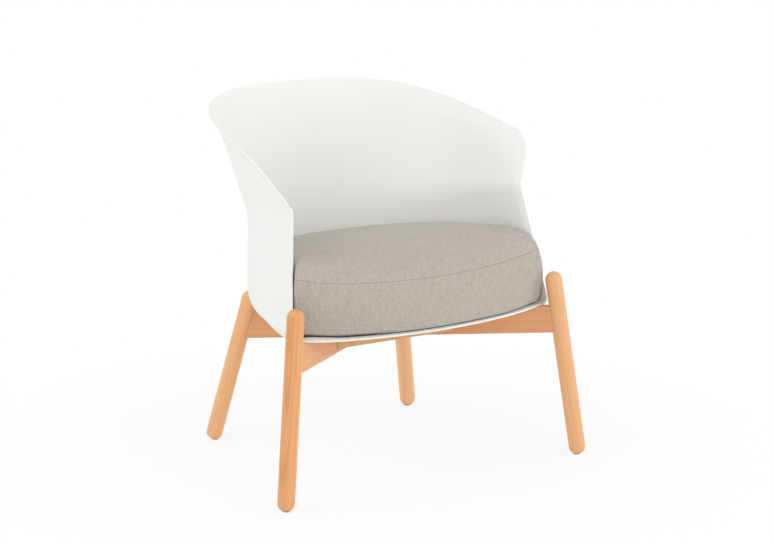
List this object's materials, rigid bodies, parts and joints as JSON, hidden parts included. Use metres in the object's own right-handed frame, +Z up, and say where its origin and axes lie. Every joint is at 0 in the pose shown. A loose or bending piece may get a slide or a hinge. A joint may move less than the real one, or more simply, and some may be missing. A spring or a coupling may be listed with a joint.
{
  "type": "waiting room armchair",
  "caption": "Low tub armchair: a moulded white shell with a flared, rolled rim and a boxed fabric seat cushion, on crossed beech rails with round splayed legs.",
  "frame": {"origin": "on the floor, under the middle of the chair's outline", "axes": "+Z up, the chair faces -Y, +X is the sitter's left"},
  "size_m": [0.719, 0.58, 0.7323],
  "materials": {
    "white_plastic": "satin moulded white",
    "grey_beige_weave": "grey-beige melange weave",
    "seat_foam": "polyurethane foam",
    "plywood": "raw plywood",
    "beech": "clear matt lacquered beech",
    "beech_dowel": "raw beech",
    "zinc_steel": "zinc plated",
    "grey_plastic": "matt grey"
  },
  "bodies": {
    "root": {"shell": "white_plastic", "cushion_cover": "grey_beige_weave", "cushion_foam": "seat_foam", "cushion_board": "plywood", "rail_front_left_to_rear_right": "beech", "rail_front_right_to_rear_left": "beech", "front_stretcher": "beech", "leg_front_left": "beech", "leg_front_right": "beech", "leg_rear_left": "beech", "leg_rear_right": "beech", "leg_dowel_front_left_1": "beech_dowel", "leg_dowel_front_left_2": "beech_dowel", "leg_dowel_front_right_1": "beech_dowel", "leg_dowel_front_right_2": "beech_dowel", "leg_dowel_rear_left_1": "beech_dowel", "leg_dowel_rear_left_2": "beech_dowel", "leg_dowel_rear_right_1": "beech_dowel", "leg_dowel_rear_right_2": "beech_dowel", "stretcher_dowel_left_1": "beech_dowel", "stretcher_dowel_left_2": "beech_dowel", "stretcher_dowel_right_1": "beech_dowel", "stretcher_dowel_right_2": "beech_dowel", "seat_bolt_front_left": "zinc_steel", "seat_bolt_front_right": "zinc_steel", "seat_bolt_rear_left": "zinc_steel", "seat_bolt_rear_right": "zinc_steel", "tee_nut_front_left": "zinc_steel", "tee_nut_front_right": "zinc_steel", "tee_nut_rear_left": "zinc_steel", "tee_nut_rear_right": "zinc_steel", "glide_front_left": "grey_plastic", "glide_front_right": "grey_plastic", "glide_rear_left": "grey_plastic", "glide_rear_right": "grey_plastic"}
  },
  "joints": []
}
